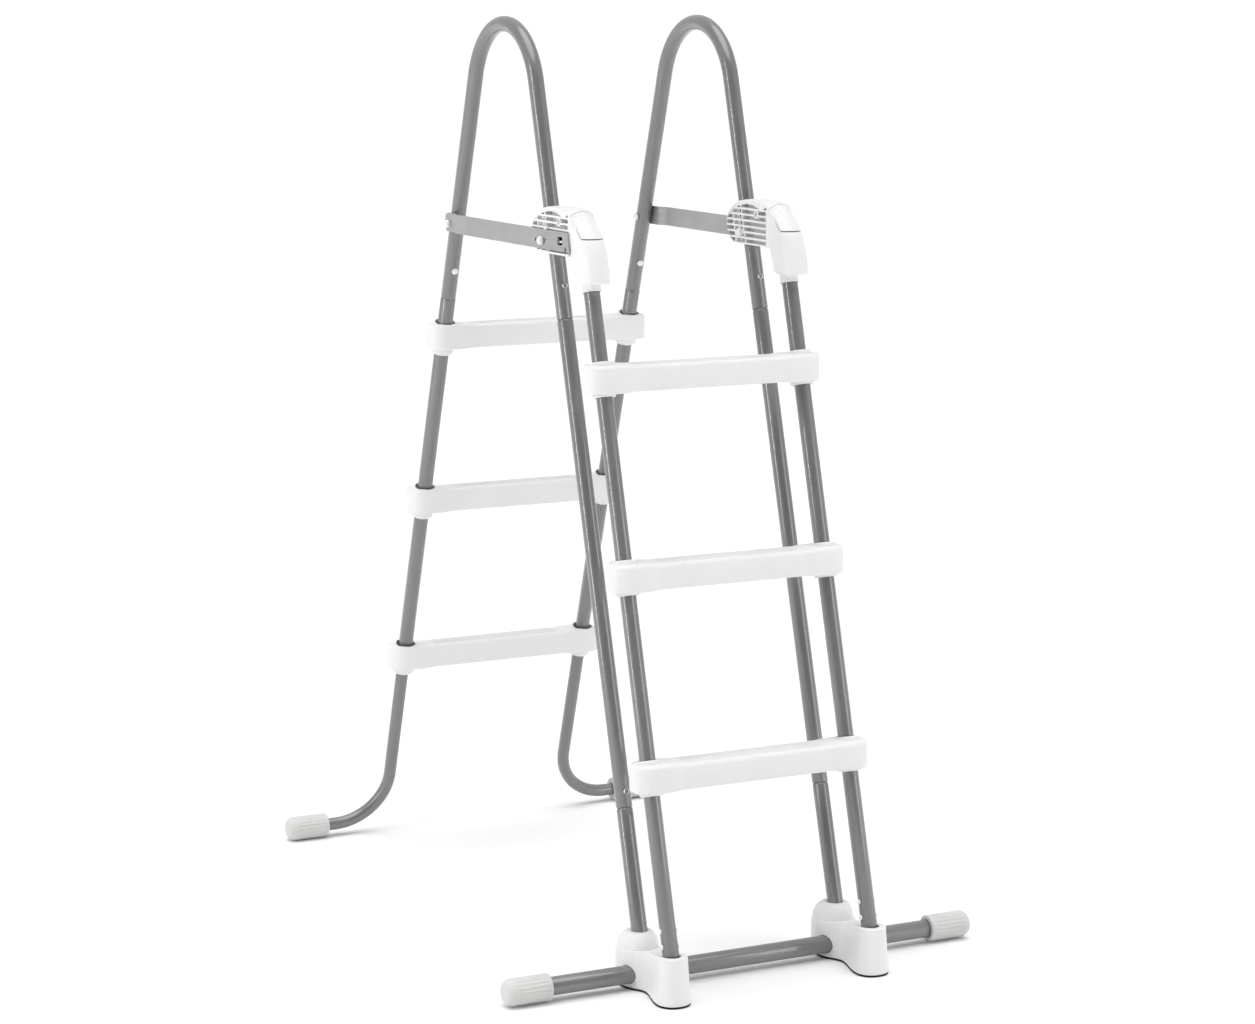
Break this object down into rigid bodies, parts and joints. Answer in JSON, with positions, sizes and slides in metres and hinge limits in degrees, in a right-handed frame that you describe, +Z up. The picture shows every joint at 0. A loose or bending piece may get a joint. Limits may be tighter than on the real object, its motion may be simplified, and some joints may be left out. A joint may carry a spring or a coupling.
{
  "type": "pool ladder",
  "caption": "A-frame ladder for an above-ground pool, with bowed handrails, plastic treads on both sides and an outer step frame that unlatches and tilts out.",
  "frame": {"origin": "on the floor, under the middle of the ladder's box", "axes": "+Z up, X along the treads, -Y towards the outer (ground) side and +Y towards the pool side"},
  "size_m": [0.816, 1.1778, 1.4639],
  "materials": {
    "tube": "satin",
    "strap": "satin",
    "white": "satin",
    "white_fastener": "gloss",
    "cap": "matte",
    "pad": "matte",
    "steel": "satin"
  },
  "bodies": {
    "fixed_frame": {"handrail_left": "tube", "handrail_right": "tube", "outer_upper_leg_left": "tube", "outer_upper_leg_right": "tube", "outer_lower_leg_left": "tube", "outer_lower_leg_right": "tube", "inner_leg_left": "tube", "inner_leg_right": "tube", "joint_screw_outer_left": "steel", "joint_screw_outer_right": "steel", "joint_screw_low_left": "steel", "joint_screw_low_right": "steel", "joint_screw_inner_left": "white_fastener", "joint_screw_inner_right": "white_fastener", "foot_tube_left": "tube", "foot_tube_right": "tube", "foot_cap_left": "cap", "foot_cap_right": "cap", "base_cap_left": "cap", "base_cap_right": "cap", "base_shoe_left": "white", "base_shoe_right": "white", "shoe_pad_left": "pad", "shoe_pad_right": "pad", "strap_left": "strap", "strap_right": "strap", "strap_bolt_outer_left": "white_fastener", "strap_bolt_outer_right": "white_fastener", "strap_bolt_inner_left": "white_fastener", "strap_bolt_inner_right": "white_fastener", "bracket_left": "white", "bracket_right": "white", "catch_pin_left": "steel", "catch_pin_right": "steel", "base_bar": "tube", "inner_step_1": "white", "inner_step_2": "white", "inner_step_3": "white"},
    "step_frame": {"step_tube_left": "tube", "step_tube_right": "tube", "foot_plug_left": "white", "foot_plug_right": "white", "plug_pin_low_left": "white_fastener", "plug_pin_low_right": "white_fastener", "plug_pin_high_left": "white_fastener", "plug_pin_high_right": "white_fastener", "head_left": "white", "head_right": "white", "latch_pin_left": "steel", "latch_pin_right": "steel", "head_collar_left": "white", "head_collar_right": "white", "outer_step_1": "white", "outer_step_2": "white", "outer_step_3": "white"},
    "latch_left": {"latch_left": "white"},
    "latch_right": {"latch_right": "white"}
  },
  "joints": [
    {"name": "step_frame_tilt", "type": "hinge", "parent": "fixed_frame", "child": "step_frame", "pos_m": [0, -0.56818, 0.028], "axis": [1, 0, 0], "range_deg": [0, 5]},
    {"name": "latch_left_lift", "type": "hinge", "parent": "step_frame", "child": "latch_left", "pos_m": [-0.1735, -0.269, 1.1592], "axis": [-1, 0, 0], "range_deg": [0, 15], "stiffness_Nm_per_rad": 0.15, "springref_deg": -20.05},
    {"name": "latch_right_lift", "type": "hinge", "parent": "step_frame", "child": "latch_right", "pos_m": [0.1735, -0.269, 1.1592], "axis": [-1, 0, 0], "range_deg": [0, 15], "stiffness_Nm_per_rad": 0.15, "springref_deg": -20.05}
  ]
}
